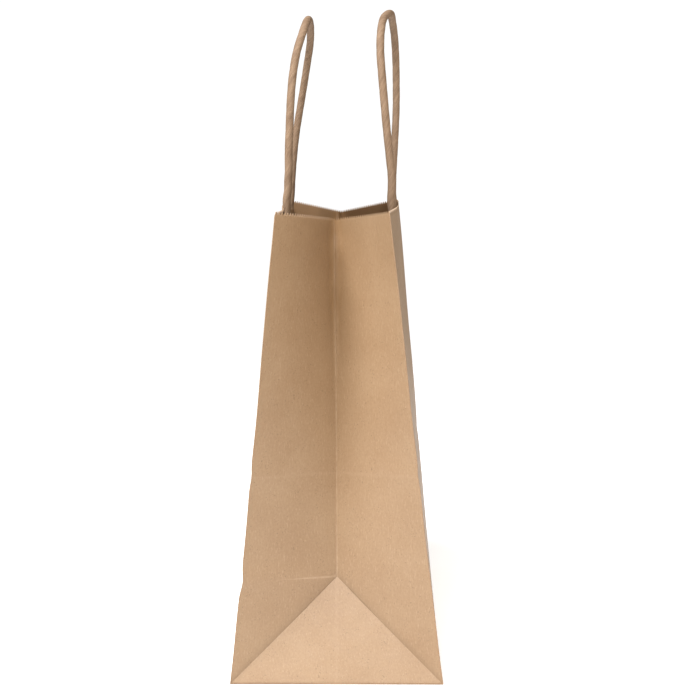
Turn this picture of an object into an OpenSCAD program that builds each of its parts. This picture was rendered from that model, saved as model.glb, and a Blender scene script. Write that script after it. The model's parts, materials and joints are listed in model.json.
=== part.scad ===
// Kraft paper gift bag with twisted paper cord handles.
// The bag stands on its base. X runs along the wide panels, Y through the gussets, Z up.

/* [Bag] */
// Width of a wide panel
bag_w = 203; // [165:1:250]
// Depth of the bag, which is also the flat width of a gusset
bag_d = 121; // [98:1:146]
// Height of the paper from the base fold to the mouth
bag_h = 267; // [220:1:322]
// Distance between the two wide panels at the mouth
mouth_gap = 68; // [56:1:82]
// Thickness of the kraft paper
paper_t = 0.25; // [0.2:0.01:0.3]

/* [Base] */
// Overlap of the two wide base flaps
base_lap = 25; // [15:1:40]
// Length of the side flaps that are folded in first
tuck_len = 45; // [30:1:48]

/* [Seam] */
// Width of the glued side seam
seam_w = 12; // [8:1:18]

/* [Handles] */
// Diameter of the twisted paper cord
cord_dia = 4.5; // [3:0.1:4.8]
// Length of cord glued inside the patch below the mouth
leg_glued = 30; // [24:1:38]
// Width of the glued handle patch
patch_w = 110; // [104:1:130]
// Height of the glued handle patch
patch_h = 46; // [44:1:60]
// Distance from the mouth down to the patch
patch_drop = 3; // [2:1:8]

/* [Clearances] */
// Bare strip left beside each corner fold
corner_gap = 2; // [2:0.1:2.5]
// Bare strip left beside each diagonal fold
diagonal_gap = 1.7; // [1.5:0.1:2]
// Bare strip beside the centre crease at the mouth
crease_gap = 1.4; // [1.2:0.1:2]
// Bare strip beside the centre crease at the bottom fold
crease_gap_low = 3.4; // [3.2:0.1:4]
// Bare strip above the base fold
base_gap = 1.3; // [1.2:0.1:1.6]
// Half of the bare strip at the fold across a gusset
fold_gap = 0.4; // [0.3:0.1:0.6]
// Clearance round the cord in its channel
channel_gap = 0.05; // [0.03:0.01:0.1]

/* [Hidden] */

kraft = [0.72, 0.55, 0.38];
kraft_pale = [0.83, 0.68, 0.53];
cord_brown = [0.63, 0.46, 0.30];

// Routes of the two handle cords, each from one bending point over the top to the other.
// Each point is [along the mouth, towards the inside, up from the bending point].
front_route = [
    [45, 0, 0], [45, 1, 7], [45, 1, 16], [45, 0, 28], [45, -0.5, 41], [45, -1, 56],
    [44, -1, 70], [40, 0, 84], [31, 2, 96], [17, 3, 104], [0, 3.5, 107],
    [-17, 4, 104], [-31, 4, 96], [-40, 3, 84], [-44, 2, 70],
    [-45, 1, 56], [-45, 0, 41], [-45, -0.5, 26], [-45, -0.5, 12], [-45, 0, 0]
];
back_route = [
    [45, 0, 0], [45, -1, 12], [45, -1, 26], [45, -1, 41], [45, -1.5, 56],
    [44, -2, 70], [40, -2.5, 84], [31, -3.5, 96], [17, -5, 105], [0, -8, 109],
    [-17, -9, 106], [-31, -9.5, 97], [-40, -9, 84], [-44, -8, 70],
    [-45, -6.5, 56], [-45, -4.5, 41], [-45, -2.5, 26], [-45, -1, 12], [-45, 0, 0]
];
cord_r = cord_dia / 2;
// Height of the handles' bending point above the mouth
bend_rise = 2.3 * cord_r;
// Cord that stands bare between the patch and the bending point stops this far below it
bend_room = 1.7 * cord_r;
leg_x = front_route[0][0];
cord_sides = 8;

half_w = bag_w / 2;
half_d = bag_d / 2;
// Lean of the wide panels towards each other
lean = asin((half_d - mouth_gap / 2) / bag_h);
// Fold of the lower gusset about the corner, and tilt of the base triangle about the base fold
low_fold = acos((1 - sin(lean)) / cos(lean));
base_layers = 3 * paper_t;
// Cord centre inside the outer face of its wide panel
cord_depth = 2 * paper_t + cord_r;

// Points of the right front quarter: the corner fold and the centre crease of the gusset
mouth_z = bag_h * cos(lean);
apex = [half_w - half_d * sin(low_fold), 0, half_d * cos(low_fold)];
crease_reach = sqrt(half_d * half_d - mouth_gap * mouth_gap / 4);
crease_top = circles_meet([half_w, mouth_z], crease_reach, [apex[0], apex[2]], bag_h - half_d);

// The point at distance p_r from p and q_r from q, on the side nearer the middle of the bag
function circles_meet(p, p_r, q, q_r) =
    let (gap = norm(q - p),
         along = (p_r * p_r - q_r * q_r + gap * gap) / (2 * gap),
         off = sqrt(p_r * p_r - along * along),
         dir = (q - p) / gap)
    [p[0] + along * dir[0] + off * dir[1], 0, p[1] + along * dir[1] - off * dir[0]];

function unit(v) = v / norm(v);
function mix(a, b, share) = a + (b - a) * share;

// Point on the corner fold of the right front quarter at a distance up the paper
function corner_at(up) = [half_w, -half_d + up * sin(lean), up * cos(lean)];
function crease_at(up) = mix(apex, crease_top, (up - half_d) / (bag_h - half_d));

// Places a child drawn as [along the mouth, towards the inside, up the paper] on a wide panel
module on_front() {
    translate([0, -half_d, 0]) rotate([-lean, 0, 0]) children();
}
module on_back() {
    mirror([0, 1, 0]) on_front() children();
}

// A flat sheet outlined in [along the mouth, up the paper], its outer face at the given depth
module panel_sheet(depth, thickness = paper_t) {
    translate([0, depth + thickness, 0]) rotate([90, 0, 0])
        linear_extrude(thickness) children();
}

module wide_panel() {
    panel_sheet(0) translate([-half_w, base_gap]) square([bag_w, bag_h - base_gap]);
}

// Flap folded under the bag from a wide panel; it steps up where it lies on the other flap
module base_flap(stepped) {
    reach = half_d + base_lap / 2;
    step_at = half_d - base_lap / 2 - paper_t;
    profile = stepped
        ? [[0, 0], [step_at - paper_t, 0], [step_at, paper_t], [reach, paper_t],
           [reach, 2 * paper_t], [step_at - paper_t, 2 * paper_t],
           [step_at - 2 * paper_t, paper_t], [0, paper_t]]
        : [[0, 0], [reach, 0], [reach, paper_t], [0, paper_t]];
    translate([-half_w, -half_d, 0]) rotate([90, 0, 90])
        linear_extrude(bag_w) polygon(profile);
}

// Side flap with corners cut at 45 degrees, folded in above the two wide flaps
module base_tuck() {
    inner = half_d - tuck_len;
    translate([0, 0, 2 * paper_t]) linear_extrude(paper_t)
        polygon([[half_w, -half_d + base_gap], [half_w, half_d - base_gap],
                 [half_w - tuck_len, inner], [half_w - tuck_len, -inner]]);
}

// Triangle at the foot of a gusset, hinged on the base fold
module foot_triangle() {
    side_cut = diagonal_gap * sqrt(2);
    reach = half_d - side_cut;
    translate([half_w, 0, 0]) rotate([0, -low_fold, 0]) translate([-paper_t, 0, 0])
        rotate([90, 0, 90]) linear_extrude(paper_t)
            polygon([[-reach + base_gap, base_gap], [reach - base_gap, base_gap], [0, reach]]);
}

// Lower triangle of a gusset half, between the corner fold and the diagonal fold
module gusset_wing() {
    top = half_d - fold_gap;
    side_cut = diagonal_gap * sqrt(2);
    on_front() translate([half_w, 0, 0]) rotate([0, 0, 90 + low_fold]) panel_sheet(0)
        polygon([[corner_gap, corner_gap + side_cut], [top - side_cut, top], [corner_gap, top]]);
}

// Upper part of a gusset half: a sheet that twists between the corner fold and the centre crease
module gusset_half() {
    rows = 16;
    low = half_d + fold_gap;
    edge = [for (row = [0 : rows])
        let (up = mix(low, bag_h, row / rows),
             corner = corner_at(up),
             across = unit(crease_at(up) - corner),
             width = norm(crease_at(up) - corner),
             bare = mix(crease_gap_low, crease_gap, row / rows),
             inside = unit(cross(across, corner_at(bag_h) - corner_at(0))) * -paper_t)
        [corner + across * corner_gap, corner + across * (width - bare), inside]];
    points = [for (e = edge) each [e[0], e[1], e[1] + e[2], e[0] + e[2]]];
    polyhedron(points, strip_faces(rows, 4));
}

// Faces of a strip of rings with a fixed number of points each, closed at both ends.
// The second half of a ring is split along the other diagonal, so that a thin twisted sheet
// has parallel faces.
function strip_faces(last, sides) = [
    for (ring = [0 : last - 1], k = [0 : sides - 1])
        let (a = ring * sides + k, b = ring * sides + (k + 1) % sides)
        each k < sides / 2
            ? [[a, a + sides, b + sides], [a, b + sides, b]]
            : [[a, a + sides, b], [b, a + sides, b + sides]],
    [for (k = [0 : sides - 1]) k],
    [for (k = [sides - 1 : -1 : 0]) last * sides + k]
];

// Paper strip glued to a wide panel inside the mouth
module patch_backing() {
    panel_sheet(paper_t) translate([-patch_w / 2, bag_h - patch_drop - patch_h])
        square([patch_w, patch_h]);
}

// Second strip glued over the cord ends, with a raised channel over each
module patch_cover() {
    channel_r = cord_r + channel_gap;
    translate([0, 0, bag_h - patch_drop - patch_h]) linear_extrude(patch_h) difference() {
        union() {
            translate([-patch_w / 2, 2 * paper_t]) square([patch_w, paper_t]);
            for (x = [-leg_x, leg_x]) translate([x, cord_depth])
                circle(r = channel_r + paper_t, $fn = 48);
        }
        for (x = [-leg_x, leg_x]) translate([x, cord_depth]) circle(r = channel_r, $fn = 48);
        translate([-patch_w, -patch_w + 2 * paper_t]) square([2 * patch_w, patch_w]);
    }
}

// The straight ends of a handle cord, glued between the two strips
module cord_ends() {
    top = bag_h + bend_rise - bend_room;
    for (x = [-leg_x, leg_x]) translate([x, cord_depth, bag_h - leg_glued])
        cylinder(r = cord_r, h = top - (bag_h - leg_glued), $fn = 48);
}

// A cord swept along a route, level at both ends
module cord_tube(route) {
    last = len(route) - 1;
    tangents = [for (k = [0 : last])
        k == 0 || k == last ? [0, 0, k == 0 ? 1 : -1] : unit(route[k + 1] - route[k - 1])];
    points = [for (k = [0 : last])
        let (side = unit(cross([0, 1, 0], tangents[k])),
             front = cross(tangents[k], side))
        for (s = [0 : cord_sides - 1])
            let (turn = 360 * s / cord_sides)
            route[k] + cord_r * (cos(turn) * side + sin(turn) * front)];
    polyhedron(points, strip_faces(last, cord_sides));
}

module handle_loop(route) {
    translate([0, cord_depth, bag_h + bend_rise]) cord_tube(route);
}

module base_front_flap() { color(kraft) base_flap(true); }
module base_back_flap() { color(kraft) mirror([0, 1, 0]) base_flap(false); }
module base_right_tuck() { color(kraft) base_tuck(); }
module base_left_tuck() { color(kraft) mirror([1, 0, 0]) base_tuck(); }
module front_panel() { color(kraft) on_front() wide_panel(); }
module back_panel() { color(kraft) on_back() wide_panel(); }
// Edge strip of the sheet, glued inside the back panel beside the left corner
module seam_flap() {
    color(kraft) on_back() panel_sheet(paper_t)
        translate([-half_w + 2 * corner_gap, base_gap]) square([seam_w, bag_h - base_gap]);
}
module right_gusset_front() { color(kraft) gusset_half(); }
module right_gusset_back() { color(kraft) mirror([0, 1, 0]) gusset_half(); }
module left_gusset_front() { color(kraft) mirror([1, 0, 0]) gusset_half(); }
module left_gusset_back() { color(kraft) mirror([1, 0, 0]) mirror([0, 1, 0]) gusset_half(); }
module right_wing_front() { color(kraft) gusset_wing(); }
module right_wing_back() { color(kraft) mirror([0, 1, 0]) gusset_wing(); }
module left_wing_front() { color(kraft) mirror([1, 0, 0]) gusset_wing(); }
module left_wing_back() { color(kraft) mirror([1, 0, 0]) mirror([0, 1, 0]) gusset_wing(); }
module right_triangle() { color(kraft_pale) foot_triangle(); }
module left_triangle() { color(kraft_pale) mirror([1, 0, 0]) foot_triangle(); }
module front_patch_backing() { color(kraft) on_front() patch_backing(); }
module back_patch_backing() { color(kraft) on_back() patch_backing(); }
module front_patch_cover() { color(kraft) on_front() patch_cover(); }
module back_patch_cover() { color(kraft) on_back() patch_cover(); }
module front_cord_ends() { color(cord_brown) on_front() cord_ends(); }
module back_cord_ends() { color(cord_brown) on_back() cord_ends(); }
module front_handle() { color(cord_brown) on_front() handle_loop(front_route); }
module back_handle() { color(cord_brown) on_back() handle_loop(back_route); }

base_front_flap();
base_back_flap();
base_right_tuck();
base_left_tuck();
front_panel();
back_panel();
seam_flap();
right_gusset_front();
right_gusset_back();
left_gusset_front();
left_gusset_back();
right_wing_front();
right_wing_back();
left_wing_front();
left_wing_back();
right_triangle();
left_triangle();
front_patch_backing();
back_patch_backing();
front_patch_cover();
back_patch_cover();
front_cord_ends();
back_cord_ends();
front_handle();
back_handle();
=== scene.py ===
"""Kraft paper gift bag with two twisted paper cord handles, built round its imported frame."""
import json
import math

import bpy
import numpy as np
from mathutils import Matrix, Vector


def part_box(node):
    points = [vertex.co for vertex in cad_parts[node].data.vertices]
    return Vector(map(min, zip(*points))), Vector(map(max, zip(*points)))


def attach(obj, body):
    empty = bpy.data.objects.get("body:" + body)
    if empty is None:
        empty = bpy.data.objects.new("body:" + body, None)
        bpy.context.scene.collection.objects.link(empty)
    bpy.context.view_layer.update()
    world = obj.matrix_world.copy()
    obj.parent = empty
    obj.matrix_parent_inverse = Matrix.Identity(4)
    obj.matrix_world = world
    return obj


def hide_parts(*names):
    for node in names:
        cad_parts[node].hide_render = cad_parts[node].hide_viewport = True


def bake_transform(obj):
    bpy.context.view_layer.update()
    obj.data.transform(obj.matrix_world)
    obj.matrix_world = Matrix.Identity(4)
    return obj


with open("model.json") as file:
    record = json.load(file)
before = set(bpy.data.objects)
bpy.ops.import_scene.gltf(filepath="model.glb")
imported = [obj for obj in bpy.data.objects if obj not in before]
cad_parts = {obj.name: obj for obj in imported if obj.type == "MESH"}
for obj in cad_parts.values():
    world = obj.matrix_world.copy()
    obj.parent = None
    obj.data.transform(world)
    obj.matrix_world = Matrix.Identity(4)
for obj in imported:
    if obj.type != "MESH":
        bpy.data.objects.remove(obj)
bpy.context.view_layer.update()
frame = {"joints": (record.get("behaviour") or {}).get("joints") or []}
scene = bpy.context.scene
joint_at = {j["name"]: j.get("pos_m") for j in frame["joints"]}


# Camera: the bag is seen from its narrow end, from a little above the mouth, with the eye
# slightly to the back panel's side.
camera_data = bpy.data.cameras.new("camera")
camera_data.lens = 62.4
camera_data.clip_start = 0.01
camera = bpy.data.objects.new("camera", camera_data)
scene.collection.objects.link(camera)
eye = Vector((0.751, 0.0234, 0.294))
yaw, pitch, roll = math.radians(1.27), math.radians(8.94), math.radians(-0.4)
ahead = Vector((-math.cos(pitch) * math.cos(yaw), -math.cos(pitch) * math.sin(yaw), -math.sin(pitch)))
right = ahead.cross(Vector((0, 0, 1))).normalized()
above = right.cross(ahead)
tilted_right = right * math.cos(roll) + above * math.sin(roll)
tilted_above = above * math.cos(roll) - right * math.sin(roll)
turn = Matrix((tilted_right, tilted_above, -ahead)).transposed()
camera.matrix_world = Matrix.Translation(eye) @ turn.to_4x4()
scene.camera = camera


# Handles: each is one length of brown paper twisted into a 4.5 mm cord. Its straight ends are
# glued between two strips of paper inside the mouth, and it stands up above them in a loop.
half_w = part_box("front_panel")[1].x
half_d = -joint_at["mouth_front"][1]
paper = 0.00025
mouth_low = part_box("front_panel")[1]
lean = math.atan2(mouth_low.y + half_d - paper, mouth_low.z)
paper_h = mouth_low.z / math.cos(lean)
bag_d = 2 * half_d


def on_wall(x, depth, up, face):
    """A point inside the front (-1) or back (1) panel: along the mouth, inwards, up the paper."""
    y = face * (half_d - up * math.sin(lean) - depth * math.cos(lean))
    return np.stack(np.broadcast_arrays(x, y, up * math.cos(lean) - depth * math.sin(lean)), -1)


def bell(distance, width):
    return np.exp(-((distance / width) ** 2))


def settle(points):
    """How the paper and what is glued to it give after folding: the left end of the mouth stands
    wider than the right, the walls bow a little, and old folds leave soft dents."""
    x, y, z = (np.asarray(points)[..., k] for k in range(3))
    up = np.clip(z / mouth_low.z, 0, 1)
    wall = half_d - np.minimum(z, mouth_low.z) * math.tan(lean)
    out, above = np.clip(x / half_w, -1, 1), np.clip((z - mouth_low.z) / 0.016, 0, 1)
    back_bow, front_give, mouth_skew = 0.10, 0.38, 0.10
    bow = np.where(y > 0, back_bow, -front_give * np.clip(out, 0, 1) ** 2 * (1 - above)) * (1 - out**2)
    wider = -mouth_skew * x / half_w * up + bow * up**2
    front = np.clip(-y / wall, 0, 1)
    both = np.clip(np.abs(y) / wall, 0, 1) * np.sign(y)
    dent = 0.0011 * front * bell(z - half_d, 0.006) - 0.0006 * both * bell(z - bag_d, 0.005)
    foot = np.clip(z / 0.03, 0, 1)
    wave = 0.00035 * np.sin(41 * x + 3 * np.sin(23 * z)) * np.sin(29 * z + 17 * x)
    pinch = sum(size * bell(z - height, 0.0035) for height, size in
                ((0.252, 0.0007), (0.243, -0.0006), (0.233, 0.0005), (0.222, -0.0005)))
    x_moved = x - np.sign(x) * foot * pinch * bell(y, 0.007) * up
    y_moved = y * (1 + wider) + dent + foot * wave * both
    return np.stack([x_moved, y_moved, z], -1)


def smooth_route(points, per_span):
    """Points along a curve through the given ones."""
    p = np.array([2 * np.array(points[0]) - points[1], *points, 2 * np.array(points[-1]) - points[-2]])
    line = []
    for a, b, c, d in zip(p[:-3], p[1:-2], p[2:-1], p[3:]):
        for t in np.arange(per_span) / per_span:
            line.append(0.5 * (2 * b + (c - a) * t + (2 * a - 5 * b + 4 * c - d) * t**2
                               + (3 * b - a - 3 * c + d) * t**3))
    return np.array([*line, p[-2]])


def add_node(tree, kind, inputs=(), **settings):
    """A new node with its settings, and its inputs set or linked in order."""
    made = tree.nodes.new(kind)
    for key, value in settings.items():
        setattr(made, key, value)
    for key, value in dict(inputs).items():
        if isinstance(value, bpy.types.NodeSocket):
            tree.links.new(value, made.inputs[key])
        else:
            made.inputs[key].default_value = value
    return made


def maths(tree, operation, a, b=0.0, clamp=False):
    made = add_node(tree, "ShaderNodeMath", {0: a, 1: b}, operation=operation, use_clamp=clamp)
    return made.outputs[0]


def shaper(name, sizes):
    """An empty geometry tree with named inputs for a material and some sizes."""
    tree = bpy.data.node_groups.new(name, "GeometryNodeTree")
    tree.interface.new_socket("Geometry", in_out="INPUT", socket_type="NodeSocketGeometry")
    tree.interface.new_socket("Geometry", in_out="OUTPUT", socket_type="NodeSocketGeometry")
    tree.interface.new_socket("Material", in_out="INPUT", socket_type="NodeSocketMaterial")
    for size in sizes:
        tree.interface.new_socket(size, in_out="INPUT", socket_type="NodeSocketFloat")
    return tree, tree.nodes.new("NodeGroupInput").outputs, tree.nodes.new("NodeGroupOutput")


def finish_shape(tree, geometry, entry, exit_node):
    """Every tree ends in Realize Instances and Set Material."""
    real = add_node(tree, "GeometryNodeRealizeInstances", {"Geometry": geometry})
    painted = add_node(tree, "GeometryNodeSetMaterial",
                       {"Geometry": real.outputs[0], "Material": entry["Material"]})
    tree.links.new(painted.outputs[0], exit_node.inputs[0])


def shaped(source, tree, name, material, values):
    """The plain mesh that a geometry tree makes of an object, which is then removed."""
    modifier = source.modifiers.new("shape", "NODES")
    modifier.node_group = tree
    sockets = {s.name: s.identifier for s in tree.interface.items_tree if s.in_out == "INPUT"}
    modifier[sockets["Material"]] = material
    for key, value in values.items():
        modifier[sockets[key]] = value
    graph = bpy.context.evaluated_depsgraph_get()
    mesh = bpy.data.meshes.new_from_object(source.evaluated_get(graph), depsgraph=graph)
    bpy.data.objects.remove(source)
    mesh.name = name
    piece = bpy.data.objects.new(name, mesh)
    scene.collection.objects.link(piece)
    return piece


def new_material(name):
    material = bpy.data.materials.new(f"{name}_look")
    material.use_nodes = True
    return material, material.node_tree, material.node_tree.nodes["Principled BSDF"]


def noise(tree, place, scale, detail=2.0, rough=0.5):
    made = add_node(tree, "ShaderNodeTexNoise",
                    {"Vector": place, "Scale": scale, "Detail": detail, "Roughness": rough})
    return made.outputs["Factor" if "Factor" in made.outputs else "Fac"]


def spread(tree, value, low, high, to_low=0.0, to_high=1.0):
    """A value mapped from one range to another and held there."""
    made = add_node(tree, "ShaderNodeMapRange",
                    {"Value": value, "From Min": low, "From Max": high,
                     "To Min": to_low, "To Max": to_high})
    return made.outputs[0]


def blend_colour(tree, factor, a, b):
    made = add_node(tree, "ShaderNodeMix", {"Factor": factor}, data_type="RGBA")
    for socket, value in ((made.inputs[6], a), (made.inputs[7], b)):
        if isinstance(value, bpy.types.NodeSocket):
            tree.links.new(value, socket)
        else:
            socket.default_value = (*value, 1.0)
    return made.outputs[2]


def attribute(tree, name, vector=False):
    made = add_node(tree, "ShaderNodeAttribute", attribute_name=name)
    return made.outputs["Vector" if vector else "Fac"]


def twisted_paper():
    """Brown paper wound on itself: streaks and a soft groove run round the cord with its twist."""
    material, tree, surface = new_material("twisted_paper")
    lay = attribute(tree, "lay", vector=True)
    groove = attribute(tree, "groove")
    place = add_node(tree, "ShaderNodeTexCoord").outputs["Object"]
    streak = noise(tree, lay, 2.6, 4.0, 0.6)
    patch = noise(tree, place, 90.0, 2.0)
    fleck = noise(tree, lay, 9.0, 2.0)
    brown = blend_colour(tree, spread(tree, streak, 0.30, 0.72),
                         (0.138, 0.080, 0.043), (0.250, 0.163, 0.099))
    brown = blend_colour(tree, spread(tree, patch, 0.35, 0.7, 0.0, 0.30), brown, (0.30, 0.200, 0.125))
    brown = blend_colour(tree, spread(tree, fleck, 0.64, 0.74, 0.0, 0.35), brown, (0.38, 0.285, 0.205))
    # Painted shade: the groove of the twist is darkened towards a deep brown.
    brown = blend_colour(tree, maths(tree, "MULTIPLY", groove, 0.16), brown, (0.075, 0.041, 0.020))
    tree.links.new(brown, surface.inputs["Base Color"])
    tree.links.new(spread(tree, streak, 0.3, 0.7, 0.68, 0.86), surface.inputs["Roughness"])
    surface.inputs["Specular IOR Level"].default_value = 0.35
    height = maths(tree, "ADD", maths(tree, "MULTIPLY", streak, 0.7), maths(tree, "MULTIPLY", fleck, 0.3))
    bump = add_node(tree, "ShaderNodeBump", {"Strength": 0.45, "Distance": 0.0004, "Height": height})
    tree.links.new(bump.outputs[0], surface.inputs["Normal"])
    return material


def cord_shaper():
    """Sweeps a grooved round along a curve while it turns, one full turn each pitch."""
    tree, entry, exit_node = shaper("twist_cord", ["Radius", "Pitch", "Groove", "Ring step"])
    even = add_node(tree, "GeometryNodeResampleCurve",
                    {"Curve": entry["Geometry"], "Length": entry["Ring step"]}, mode="LENGTH")
    along = add_node(tree, "GeometryNodeSplineParameter").outputs["Length"]
    turns = maths(tree, "MULTIPLY", maths(tree, "DIVIDE", along, entry["Pitch"]), 2 * math.pi)
    tilted = add_node(tree, "GeometryNodeSetCurveTilt", {"Curve": even.outputs[0], "Tilt": turns})
    kept = add_node(tree, "GeometryNodeStoreNamedAttribute",
                    {"Geometry": tilted.outputs[0], "Name": "along", "Value": along},
                    data_type="FLOAT", domain="POINT")
    ring = add_node(tree, "GeometryNodeCurvePrimitiveCircle", {"Resolution": 36, "Radius": 1.0})
    spot = add_node(tree, "GeometryNodeInputPosition").outputs[0]
    parts = add_node(tree, "ShaderNodeSeparateXYZ", {0: spot}).outputs
    angle = maths(tree, "ARCTAN2", parts[1], parts[0])
    ridge = maths(tree, "ABSOLUTE", maths(tree, "COSINE", angle))
    narrow = maths(tree, "POWER", ridge, 9.0)
    shrink = maths(tree, "SUBTRACT", 1.0, maths(tree, "MULTIPLY", narrow, entry["Groove"]))
    size = maths(tree, "MULTIPLY", shrink, entry["Radius"])
    # The groove mark also sets where the cord material paints shade.
    marked = add_node(tree, "GeometryNodeStoreNamedAttribute",
                      {"Geometry": ring.outputs[0], "Name": "groove", "Value": narrow},
                      data_type="FLOAT", domain="POINT")
    around = add_node(tree, "GeometryNodeStoreNamedAttribute",
                      {"Geometry": marked.outputs[0], "Name": "around", "Value": spot},
                      data_type="FLOAT_VECTOR", domain="POINT")
    scaled = add_node(tree, "ShaderNodeVectorMath", {0: spot, "Scale": size}, operation="SCALE")
    profile = add_node(tree, "GeometryNodeSetPosition",
                       {"Geometry": around.outputs[0], "Position": scaled.outputs[0]})
    tube = add_node(tree, "GeometryNodeCurveToMesh",
                    {"Curve": kept.outputs[0], "Profile Curve": profile.outputs[0], "Fill Caps": True})
    far = add_node(tree, "GeometryNodeInputNamedAttribute", {"Name": "along"}, data_type="FLOAT").outputs[0]
    disc = add_node(tree, "GeometryNodeInputNamedAttribute", {"Name": "around"},
                    data_type="FLOAT_VECTOR").outputs[0]
    flat = add_node(tree, "ShaderNodeSeparateXYZ", {0: disc}).outputs
    lay = add_node(tree, "ShaderNodeCombineXYZ",
                   {0: flat[0], 1: flat[1], 2: maths(tree, "MULTIPLY", far, 60.0)})
    laid = add_node(tree, "GeometryNodeStoreNamedAttribute",
                    {"Geometry": tube.outputs[0], "Name": "lay", "Value": lay.outputs[0]},
                    data_type="FLOAT_VECTOR", domain="POINT")
    smooth = add_node(tree, "GeometryNodeSetShadeSmooth", {"Geometry": laid.outputs[0]})
    finish_shape(tree, smooth.outputs[0], entry, exit_node)
    return tree


glued = 0.030
# Each route runs from one bending point over the top to the other, in metres:
# along the mouth, towards the inside, up from the bending point.
cord_routes = {
    "front": [
        (0.045, 0.000, 0.000), (0.045, 0.001, 0.007), (0.045, 0.001, 0.016), (0.045, 0.000, 0.028),
        (0.045, -0.0005, 0.041), (0.045, -0.001, 0.056), (0.044, -0.001, 0.070), (0.040, 0.000, 0.084),
        (0.031, 0.002, 0.096), (0.017, 0.003, 0.104), (0.000, 0.0035, 0.107), (-0.017, 0.004, 0.104),
        (-0.031, 0.004, 0.096), (-0.040, 0.003, 0.084), (-0.044, 0.002, 0.070), (-0.045, 0.001, 0.056),
        (-0.045, 0.000, 0.041), (-0.045, -0.0005, 0.026), (-0.045, -0.0005, 0.012), (-0.045, 0.000, 0.000),
    ],
    "back": [
        (0.045, 0.000, 0.000), (0.045, -0.0017, 0.012), (0.045, -0.0019, 0.026),
        (0.045, -0.0018, 0.041), (0.045, -0.0019, 0.056), (0.044, -0.0021, 0.070),
        (0.040, -0.0024, 0.084), (0.031, -0.0037, 0.096), (0.017, -0.0060, 0.105),
        (0.000, -0.0098, 0.109), (-0.017, -0.0105, 0.106), (-0.031, -0.0107, 0.097),
        (-0.040, -0.0100, 0.084), (-0.044, -0.0087, 0.070), (-0.045, -0.0072, 0.056),
        (-0.045, -0.0052, 0.041), (-0.045, -0.0032, 0.026), (-0.045, -0.0013, 0.012),
        (-0.045, 0.000, 0.000),
    ],
}
cord_r = 0.00225
bend_up = paper_h + 2.3 * cord_r
cord_depth = 2 * paper + cord_r
leg_x = cord_routes["front"][0][0]
patch_top = paper_h - 0.003
cord_tree = cord_shaper()
cord_paper = twisted_paper()
for face, sign in (("front", -1), ("back", 1)):
    ends = [(0, 0, -(glued + 2.3 * cord_r)), (0, 0, -0.020), (0, 0, -0.009)]
    route = [(leg_x, *e[1:]) for e in ends] + cord_routes[face] + [(-leg_x, *e[1:]) for e in reversed(ends)]
    local = smooth_route(route, 8)
    line = settle(on_wall(local[:, 0], cord_depth + local[:, 1], bend_up + local[:, 2], sign))
    curve = bpy.data.curves.new(f"{face}_route", "CURVE")
    curve.dimensions = "3D"
    spline = curve.splines.new("POLY")
    spline.points.add(len(line) - 1)
    spline.points.foreach_set("co", np.hstack([line, np.ones((len(line), 1))]).ravel())
    source = bpy.data.objects.new(f"{face}_route", curve)
    scene.collection.objects.link(source)
    handle = shaped(source, cord_tree, f"{face}_twisted_handle", cord_paper,
                    {"Radius": cord_r * 1.03, "Pitch": 0.023, "Groove": 0.035, "Ring step": 0.0007})
    settle(on_wall(leg_x, cord_depth, patch_top, sign))
    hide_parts(f"{face}_handle", f"{face}_cord_ends")
    on_wall(0.0, cord_depth, paper_h + 0.001, sign)
    on_wall(0.0, cord_depth, paper_h + 0.014, sign)
    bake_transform(handle)


# Wide panels: the front and back walls of the sheet, leaning together at the mouth. The
# bag's cut edge is pinked all round the mouth, and the front keeps the fold of the flat bag.
worn = 0.0009


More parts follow.
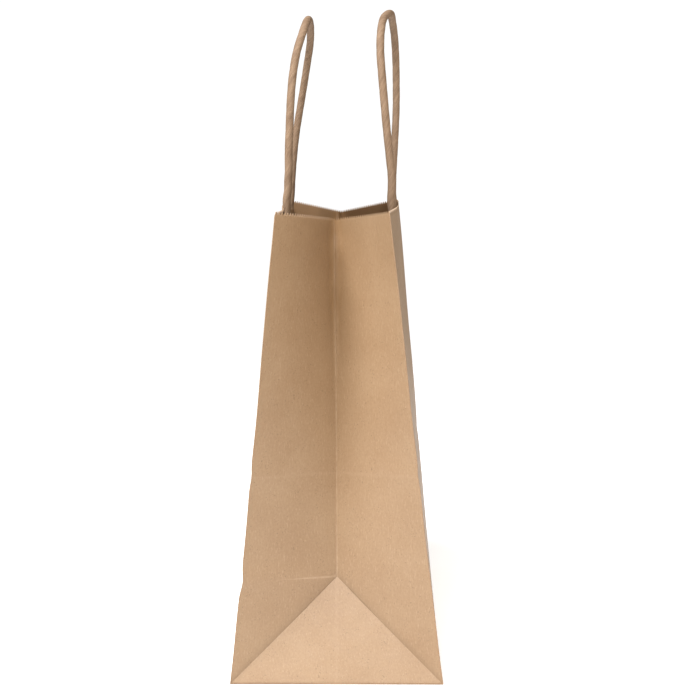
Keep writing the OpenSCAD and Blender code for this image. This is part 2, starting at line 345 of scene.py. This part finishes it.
def kraft(name, pale, brown, pale_cut_and_highlight):
    """Uncoated kraft: clouded pulp, fine upright streaks, pale and dark flecks, worn folds and pale cut
    edges. Painted shade darkens the upper gusset valleys, the paper beside the diagonal folds and the whole
    inner face.
    """
    material, tree, surface = new_material(name)
    place = add_node(tree, "ShaderNodeTexCoord").outputs["Object"]
    upright = add_node(tree, "ShaderNodeMapping", {"Vector": place, "Scale": (1.0, 1.0, 0.22)}).outputs[0]
    cloud = noise(tree, place, 30.0, 3.0)
    pulp = noise(tree, place, 760.0, 4.0, 0.65)
    streak = noise(tree, upright, 1100.0, 3.0, 0.6)
    hair = noise(tree, upright, 1700.0, 1.0)
    speck = noise(tree, place, 1250.0, 0.0)
    rare = noise(tree, place, 170.0, 0.0)
    uneven = maths(tree, "ADD", maths(tree, "MULTIPLY", streak, 0.25), maths(tree, "MULTIPLY", cloud, 0.40))
    tone = maths(tree, "ADD", maths(tree, "MULTIPLY", pulp, 0.50), uneven)
    colour = blend_colour(tree, spread(tree, tone, 0.42, 0.74), brown, pale)
    light = tuple(min(1.0, c * 1.22 + 0.05) for c in pale)
    colour = blend_colour(tree, spread(tree, hair, 0.60, 0.74, 0.0, 0.28), colour, light)
    dark = maths(tree, "MULTIPLY", spread(tree, speck, 0.70, 0.76), spread(tree, rare, 0.50, 0.60))
    colour = blend_colour(tree, maths(tree, "MULTIPLY", dark, 0.38), colour, tuple(c * 0.40 for c in brown))
    break_up = spread(tree, noise(tree, place, 260.0, 2.0), 0.30, 0.60, 0.35, 1.0)
    fold = maths(tree, "MULTIPLY", spread(tree, attribute(tree, "fold"), 0.0, worn, 0.60, 0.0), break_up)
    imprint = spread(tree, attribute(tree, "imprint"), 0.0, 0.0016, 0.12, 0.0)
    imprint = maths(tree, "MULTIPLY", imprint, break_up)
    # Cut edges are paler, as cut kraft is; on the patches this is raised so far that it is also a painted
    # highlight along their edges.
    cut = spread(tree, attribute(tree, "cut"), 0.0, 0.0008, pale_cut_and_highlight, 0.0)
    rubbed = maths(tree, "MAXIMUM", maths(tree, "MAXIMUM", fold, imprint), cut)
    colour = blend_colour(tree, rubbed, colour, light)
    # Painted shade: the paper within 7 mm of the gussets' diagonal folds is darkened towards a deeper
    # brown.
    diagonal_shade = maths(tree, "POWER", spread(tree, attribute(tree, "tuck"), 0.0, 0.007, 1.0, 0.0), 2.0)
    diagonal_shade_colour = tuple(c * 0.55 for c in brown)
    colour = blend_colour(tree, maths(tree, "MULTIPLY", diagonal_shade, 0.30), colour, diagonal_shade_colour)
    # Painted shade: the upper gusset valleys are darkened towards a deep brown, strongest along the centre
    # crease, broken up by the clouding.
    valley_shade = maths(tree, "MULTIPLY", attribute(tree, "valley"), spread(tree, cloud, 0.3, 0.7, 0.75, 1.0))
    colour = blend_colour(tree, maths(tree, "MULTIPLY", valley_shade, 0.58), colour, (0.160, 0.082, 0.027))
    # Painted shade: the inner face of every sheet is darkened and made more saturated, standing for the
    # shade inside the bag.
    inside_shade = maths(tree, "MULTIPLY", attribute(tree, "inner"), 0.45)
    colour = blend_colour(tree, inside_shade, colour, tuple(c * k for c, k in zip(brown, (0.50, 0.36, 0.20))))
    tree.links.new(colour, surface.inputs["Base Color"])
    tree.links.new(spread(tree, pulp, 0.3, 0.7, 0.44, 0.58), surface.inputs["Roughness"])
    surface.inputs["Specular IOR Level"].default_value = 0.5
    grain = maths(tree, "ADD", maths(tree, "MULTIPLY", pulp, 0.6), maths(tree, "MULTIPLY", streak, 0.4))
    fine = add_node(tree, "ShaderNodeBump", {"Strength": 0.30, "Distance": 0.00016, "Height": grain})
    cockle = noise(tree, place, 75.0, 2.0)
    soft = add_node(tree, "ShaderNodeBump",
                    {"Strength": 0.35, "Distance": 0.0011, "Height": cockle, "Normal": fine.outputs[0]})
    tree.links.new(soft.outputs[0], surface.inputs["Normal"])
    return material


def pinking_shaper():
    """Zigzags the points of a cut edge, one tooth each pitch along it."""
    tree, entry, exit_node = shaper("pink_edge", ["Pitch", "Depth"])

    def held(name):
        return add_node(tree, "GeometryNodeInputNamedAttribute", {"Name": name},
                        data_type="FLOAT").outputs[0]

    half = maths(tree, "MULTIPLY", entry["Pitch"], 0.5)
    tooth = maths(tree, "DIVIDE", maths(tree, "PINGPONG", held("along_cut"), half), half)
    lift = maths(tree, "MULTIPLY", maths(tree, "SUBTRACT", tooth, 0.5), entry["Depth"])
    rise = maths(tree, "MULTIPLY", lift, held("at_cut"))
    offset = add_node(tree, "ShaderNodeCombineXYZ", {2: rise})
    moved = add_node(tree, "GeometryNodeSetPosition",
                     {"Geometry": entry["Geometry"], "Offset": offset.outputs[0]})
    finish_shape(tree, moved.outputs[0], entry, exit_node)
    return tree


def cut_sheet(name, places, inside, outward, marks, thickness=paper):
    """A closed sheet of paper from a grid of points on its outer face. Only the points that are
    inside its outline are used, and its inner face lies a thickness behind, away from outward."""
    rows, columns = inside.shape
    number = -np.ones(inside.shape, int)
    number[inside] = np.arange(inside.sum())
    outer = places[inside]
    faces = []
    for j in range(rows - 1):
        for i in range(columns - 1):
            cell = number[j, i], number[j, i + 1], number[j + 1, i + 1], number[j + 1, i]
            ring = [k for k in cell if k >= 0]
            if len(ring) > 2:
                faces.append(ring)
    normal = np.zeros_like(outer)
    for ring in faces:
        a, b, c = outer[ring[0]], outer[ring[1]], outer[ring[2]]
        normal[ring] += np.cross(b - a, c - a)
    normal /= np.maximum(np.linalg.norm(normal, axis=1, keepdims=True), 1e-12)
    if (normal @ np.array(outward, float)).sum() < 0:
        normal = -normal
        faces = [ring[::-1] for ring in faces]
    count = len(outer)
    uses = {}
    for ring in faces:
        for a, b in zip(ring, ring[1:] + ring[:1]):
            uses.pop((b, a), None) if (b, a) in uses else uses.update({(a, b): True})
    back = [[k + count for k in ring[::-1]] for ring in faces]
    rim = [[b, a, a + count, b + count] for a, b in uses]
    mesh = bpy.data.meshes.new(name)
    mesh.from_pydata(np.vstack([outer, outer - normal * thickness]).tolist(), [], faces + back + rim)
    mesh.polygons.foreach_set("use_smooth", [True] * (2 * len(faces)) + [False] * len(rim))
    rims = {frozenset(pair) for a, b in uses for pair in ((a, b), (a + count, b + count))}
    for edge in mesh.edges:
        edge.use_edge_sharp = frozenset(edge.vertices) in rims
    unmarked = np.full(inside.shape, far_off)
    for mark in dict.fromkeys(("fold", "imprint", "tuck", "cut", *marks)):
        layer = mesh.attributes.new(mark, "FLOAT", "POINT")
        layer.data.foreach_set("value", np.tile(marks.get(mark, unmarked)[inside], 2).astype(np.float32))
    layer = mesh.attributes.new("inner", "FLOAT", "POINT")
    layer.data.foreach_set("value", np.repeat([0.0, 1.0], count).astype(np.float32))
    sheet = bpy.data.objects.new(name, mesh)
    scene.collection.objects.link(sheet)
    return sheet


def nearest(*distances):
    return np.minimum.reduce(np.broadcast_arrays(*(np.abs(d) for d in distances)))


def rows_at(step, *marks):
    """Rows about a step apart that fall exactly on each mark."""
    spans = [np.linspace(a, b, round((b - a) / step) + 1) for a, b in zip(marks, marks[1:])]
    return np.concatenate([spans[0], *(span[1:] for span in spans[1:])])


far_off = 1.0


def pinked(sheet, material):
    """The same sheet with its mouth edge cut in teeth."""
    name = sheet.name
    sheet.name = f"{name}_flat"
    return shaped(sheet, pink_tree, name, material, {"Pitch": tooth, "Depth": 0.0018})


tooth = 0.0023
pink_tree = pinking_shaper()
wall_paper = kraft("kraft_paper", (0.308, 0.200, 0.110), (0.252, 0.151, 0.076), 0.35)
columns = 2 * round(half_w / tooth) * 2
ups = rows_at(0.0025, 0.0, half_d, bag_d, paper_h)
acrosses = np.linspace(-half_w, half_w, columns + 1)
x, up = np.meshgrid(acrosses, ups)
for face, sign in (("front", -1), ("back", 1)):
    place = settle(on_wall(x, 0.0 * x, up, sign))
    fold_up = up - half_d if face == "front" else far_off
    marks = {
        "fold": nearest(half_w - np.abs(x) + worn / 2, np.abs(fold_up) + worn / 3),
        "imprint": nearest(up - bag_d),
        "cut": paper_h - up,
        "along_cut": (x + half_w) * (columns / 2 * tooth) / (2 * half_w),
        "at_cut": (up == up.max()).astype(float),
    }
    panel = cut_sheet(f"{face}_panel_paper", place, np.ones(x.shape, bool), (0, sign, 0), marks)
    panel = pinked(panel, wall_paper)
    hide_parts(f"{face}_panel")
    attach(panel, face)


# Gussets: each narrow side is folded in along its centre crease, so its two halves meet in a
# valley. A diagonal fold runs from each base corner up to the crease.
low_fold = math.acos((1 - math.sin(lean)) / math.cos(lean))
apex = np.array([half_w - half_d * math.sin(low_fold), 0.0, half_d * math.cos(low_fold)])
mouth_half = half_d - paper_h * math.sin(lean)


def crease_top_point():
    """Where the centre crease meets the mouth: a gusset half from the corner, a crease from the apex."""
    mouth = np.array([half_w, mouth_low.z])
    foot = apex[[0, 2]]
    reach, rest = math.sqrt(half_d**2 - mouth_half**2), paper_h - half_d
    gap = np.linalg.norm(foot - mouth)
    along = (reach**2 - rest**2 + gap**2) / (2 * gap)
    off = math.sqrt(reach**2 - along**2)
    ahead_x, ahead_z = (foot - mouth) / gap
    x, z = mouth + np.array([along * ahead_x + off * ahead_z, along * ahead_z - off * ahead_x])
    return np.array([x, 0.0, z])


crease_top = crease_top_point()
cells = round(half_d / (tooth / 2) / 2) * 2
low_rows = np.linspace(0.0, half_d, cells + 1)
high_rows = rows_at(0.0025, half_d, bag_d, paper_h)[1:]
ups = np.concatenate([low_rows, high_rows])
soft_span = 0.018
widest_curl = 0.0045
# The back half runs on behind the front one in a narrow lap, which leans away from it.
lap_w, lap_gap, lap_slope = 0.0055, 0.0016, 0.35
for side, x_sign in (("right", 1), ("left", -1)):
    for face, y_sign in (("front", -1), ("back", 1)):
        lap = np.arange(0.001, lap_w, 0.001) if face == "back" else np.zeros(0)
        reach, up = np.meshgrid(np.concatenate([np.linspace(0.0, half_d, cells + 1), half_d + lap]), ups)
        turned = reach > half_d
        inside = (reach <= up + 1e-9) & ~(turned & (up < half_d + 0.02))
        across = np.where(turned, 2 * half_d - reach, reach)
        edge_x = np.full(up.shape, half_w)
        corner = np.stack([edge_x, -half_d + up * math.sin(lean), up * math.cos(lean)], -1)
        rise = np.clip((up - half_d) / (paper_h - half_d), 0, 1)[..., None]
        crease = apex + (crease_top - apex) * rise
        low_way = np.array([
            -math.sin(low_fold),
            math.cos(low_fold) * math.cos(lean),
            -math.cos(low_fold) * math.sin(lean),
        ])
        way = np.where(up[..., None] > half_d, (crease - corner) / half_d, low_way)
        place = corner + way * across[..., None]
        steep = np.where(up > half_d, (half_w - crease[..., 0]) / np.maximum(-corner[..., 1], 1e-6), 0.0)
        curl = 1e-6 + widest_curl * np.clip((up - 0.13) / 0.10, 0, 1) ** 2
        from_crease = np.minimum(np.abs(place[..., 1]), curl)
        place[..., 0] += steep * ((from_crease**2 + curl**2) / (2 * curl) - from_crease)
        if face == "back":
            near_fold = np.clip(soft_span - np.abs(up - half_d), 0, None)
            bend = 0.117 * across / half_d * near_fold**2 / (4 * soft_span)
            place[..., 0] -= bend * np.clip((np.minimum(half_d, up) - across) / 0.012, 0, 1)
        place[..., 0] -= np.where(turned, lap_gap + lap_slope * (reach - half_d), 0.0)
        place[..., 1] *= np.where(turned, -1, 1)
        place = settle(place * np.array([x_sign, -y_sign, 1.0]))
        half_fold = up - half_d if face == "front" else far_off
        crease_line = np.where((up >= half_d) & ~turned, half_d - across, far_off)
        # Painted shade for the valley: it grows towards the mouth, spreads about 20 mm either side of the
        # centre crease and has a narrow darker core on the crease near the top.
        valley_shade_rise = np.clip((up - 0.10) / 0.12, 0, 1) ** 1.5
        crease_line_shade = 0.7 * bell(place[..., 1], 0.0028) * np.clip((up - 0.19) / 0.03, 0, 1)
        marks = {
            "fold": nearest(
                across + worn / 2,
                np.abs(half_fold) + worn * np.clip(1.6 - 2.2 * across / half_d, 0, 1),
                crease_line + worn * np.clip((up - 0.17) / 0.06, 0, 1),
            ),
            "imprint": nearest(up - bag_d),
            # Painted shade beside each diagonal fold, on the gusset side: distance from the fold in the
            # lower part of the gusset.
            "tuck": np.where(up < half_d + 0.02, np.abs(up - across) / math.sqrt(2), far_off),
            "valley": valley_shade_rise * (np.clip(1 - np.abs(place[..., 1]) / 0.020, 0, 1) ** 1.2 + crease_line_shade),
            "cut": paper_h - up,
            "along_cut": across * (cells / 2 * tooth) / half_d,
            "at_cut": (up == up.max()).astype(float),
        }
        gusset = cut_sheet(f"{side}_gusset_{face}_paper", place, inside, (x_sign, 0, 0), marks)
        gusset = pinked(gusset, wall_paper)
        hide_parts(f"{side}_gusset_{face}", f"{side}_wing_{face}")
        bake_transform(gusset)


# Foot triangles: the base of each gusset between its two diagonal folds. It leans in from
# the base fold, and still shows the centre crease of the flat tube.
rows = 44
level, where = np.meshgrid(np.arange(rows + 1), np.arange(-rows, rows + 1), indexing="ij")
inside = np.abs(where) <= rows - level
up, along = level * half_d / rows, where * half_d / rows
for side, x_sign in (("right", 1), ("left", -1)):
    swell = 0.0006 * bell(along, 0.02) * np.sin(np.pi * np.clip(up / half_d, 0, 1))
    place = np.stack([half_w - up * math.sin(low_fold) + swell, along, up * math.cos(low_fold)], -1)
    place = settle(place * np.array([x_sign, 1.0, 1.0]))
    edge = (half_d - up - np.abs(along)) / math.sqrt(2)
    marks = {"fold": edge + worn * 0.7, "imprint": nearest(along)}
    foot = cut_sheet(f"{side}_foot_paper", place, inside, (x_sign, 0, 0), marks)
    foot.data.materials.append(wall_paper)
    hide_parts(f"{side}_triangle")
    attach(foot, f"{side}_foot")


# Base: two tucks folded in from the gussets, and under them the two wide flaps, glued one
# over the other. The edges of the tucks print through the outer flaps.
tuck_low, tuck_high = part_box("base_right_tuck")
tuck_len = tuck_high.x - tuck_low.x
for name, sign, layer in (("back", 1, 0), ("front", -1, 1)):
    low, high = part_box(f"base_{name}_flap")
    reach = high.y - low.y
    out, x = np.meshgrid(np.linspace(0.0, reach, 62), np.linspace(-half_w, half_w, 124))
    lapped = reach - 2 * (reach - half_d)
    step = paper * layer * np.clip((out - lapped) / 0.002, 0, 1)
    wave = 0.00004 * np.sin(90 * x) * np.sin(70 * out + 1)
    place = np.stack([x, sign * (half_d - out), step + np.abs(wave)], -1)
    corner_fold = (half_w - np.abs(x)) - out
    tuck_edge = np.where(out > half_w, 0, half_w - tuck_len - np.abs(x))
    marks = {
        "fold": nearest(out),
        "imprint": nearest(corner_fold / math.sqrt(2), tuck_edge),
        "cut": reach - out,
    }
    flap = cut_sheet(f"base_{name}_flap_paper", place, np.ones(x.shape, bool), (0, 0, -1), marks)
    flap.data.materials.append(wall_paper)
    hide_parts(f"base_{name}_flap")
    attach(flap, "base")
rows = 40
for side, sign in (("right", 1), ("left", -1)):
    inward, share = np.meshgrid(np.linspace(0.0, tuck_len, rows), np.linspace(-1.0, 1.0, 2 * rows))
    place = np.stack([sign * (half_w - inward), share * (half_d - inward), 0 * inward + 2 * paper], -1)
    marks = {"fold": nearest(inward), "imprint": nearest(place[..., 1]), "cut": nearest(tuck_len - inward)}
    flap = cut_sheet(f"base_{side}_tuck_paper", place, np.ones(inward.shape, bool), (0, 0, -1), marks)
    flap.data.materials.append(wall_paper)
    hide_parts(f"base_{side}_tuck")
    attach(flap, "base")


# Side seam: the end of the sheet, turned round the left back corner and glued flat inside
# the back panel.
seam_w = 0.012
along, up = np.meshgrid(np.linspace(0.0, seam_w, 9), rows_at(0.003, 0.0015, half_d, bag_d, paper_h))
place = settle(on_wall(-half_w + 0.0015 + along, paper + 0 * along, up, 1))
marks = {"fold": nearest(along), "imprint": nearest(up - bag_d), "cut": nearest(seam_w - along)}
seam = cut_sheet("seam_flap_paper", place, np.ones(up.shape, bool), (0, 1, 0), marks)
seam.data.materials.append(wall_paper)
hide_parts("seam_flap")
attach(seam, "back")


# Handle patches: two strips of the same paper, glued to each other round the cord ends and
# to the wall inside the mouth. The upper strip is pressed over each cord in a soft ridge.
# The patches' cut edges are lightened much more than the walls': pale cut fibre plus a painted highlight
# where their top edges catch the light.
patch_paper = kraft("patch_paper", (0.300, 0.194, 0.108), (0.244, 0.147, 0.075), 0.85)
patch_w, patch_h = 0.110, 0.046
xs = np.linspace(-patch_w / 2, patch_w / 2, 177)
x, up = np.meshgrid(xs, np.linspace(patch_top - patch_h, patch_top, 40))
for face, sign in (("front", -1), ("back", 1)):
    over_cord = sum(np.clip(1 - ((x - leg) / 0.0050) ** 2, 0, 1) ** 0.8 for leg in (-leg_x, leg_x))
    held = np.clip((up - (paper_h - glued) + 0.006) / 0.006, 0, 1)
    for layer, ridge in (("backing", 0.0), ("cover", 2.07 * cord_r)):
        depth = paper * (1 if layer == "backing" else 2) + ridge * over_cord * held * held * (3 - 2 * held)
        place = settle(on_wall(x, depth, up, sign))
        ends = nearest(x - patch_w / 2, x + patch_w / 2, up - patch_top, up - patch_top + patch_h)
        marks = {"cut": ends}
        strip = cut_sheet(f"{face}_patch_{layer}_paper", place, np.ones(x.shape, bool), (0, sign, 0), marks)
        strip.data.materials.append(patch_paper)
        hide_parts(f"{face}_patch_{layer}")
        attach(strip, face)


# Studio: a soft white room, a white floor that glows a little so it stays white, and three
# large lights: high on the front panel's side, facing the narrow end, beside the back panel.
floor_mesh = bpy.data.meshes.new("floor")
floor_z = -0.0003
floor_corners = [(x, y, floor_z) for x, y in ((-1, -1), (1, -1), (1, 1), (-1, 1))]
floor_mesh.from_pydata(floor_corners, [], [(0, 1, 2, 3)])
floor = bpy.data.objects.new("floor", floor_mesh)
scene.collection.objects.link(floor)
floor_white, _, floor_surface = new_material("white_floor")
floor_surface.inputs["Base Color"].default_value = (0.85, 0.85, 0.85, 1.0)
floor_surface.inputs["Roughness"].default_value = 0.9
floor_surface.inputs["Emission Color"].default_value = (1.0, 1.0, 1.0, 1.0)
floor_surface.inputs["Emission Strength"].default_value = 0.52
floor_mesh.materials.append(floor_white)


def soft_light(name, place, aim, size, power, colour):
    data = bpy.data.lights.new(name, "AREA")
    data.size, data.energy, data.color = size, power, colour
    lamp = bpy.data.objects.new(name, data)
    lamp.location = place
    lamp.rotation_euler = (Vector(aim) - Vector(place)).to_track_quat("-Z", "Y").to_euler()
    scene.collection.objects.link(lamp)


soft_light("key", (0.55, -0.65, 1.59), (0.06, 0.0, 0.12), 0.6, 41.0, (0.95, 0.98, 1.05))
soft_light("front", (1.39, 0.0, 1.10), (0.06, 0.0, 0.10), 0.6, 22.5, (1.0, 1.0, 1.0))
soft_light("side", (0.20, 1.50, 0.70), (0.0, 0.0, 0.15), 0.8, 4.5, (1.0, 0.86, 0.66))
world = bpy.data.worlds.new("room")
world.use_nodes = True
room = world.node_tree
ray = add_node(room, "ShaderNodeLightPath").outputs
fill, in_mirrors, in_view = 0.26, 0.15, 0.79
seen = maths(room, "MULTIPLY", ray["Is Camera Ray"], in_view)
mirrored = maths(room, "MULTIPLY", ray["Is Glossy Ray"], in_mirrors)
wall_glow = maths(room, "ADD", maths(room, "ADD", seen, mirrored), fill)
room.links.new(wall_glow, room.nodes["Background"].inputs["Strength"])
glow_colour = blend_colour(room, ray["Is Camera Ray"], (1.0, 0.93, 0.84), (1.0, 1.0, 1.0))
room.links.new(glow_colour, room.nodes["Background"].inputs["Color"])
scene.world = world
scene.view_settings.view_transform = "Standard"
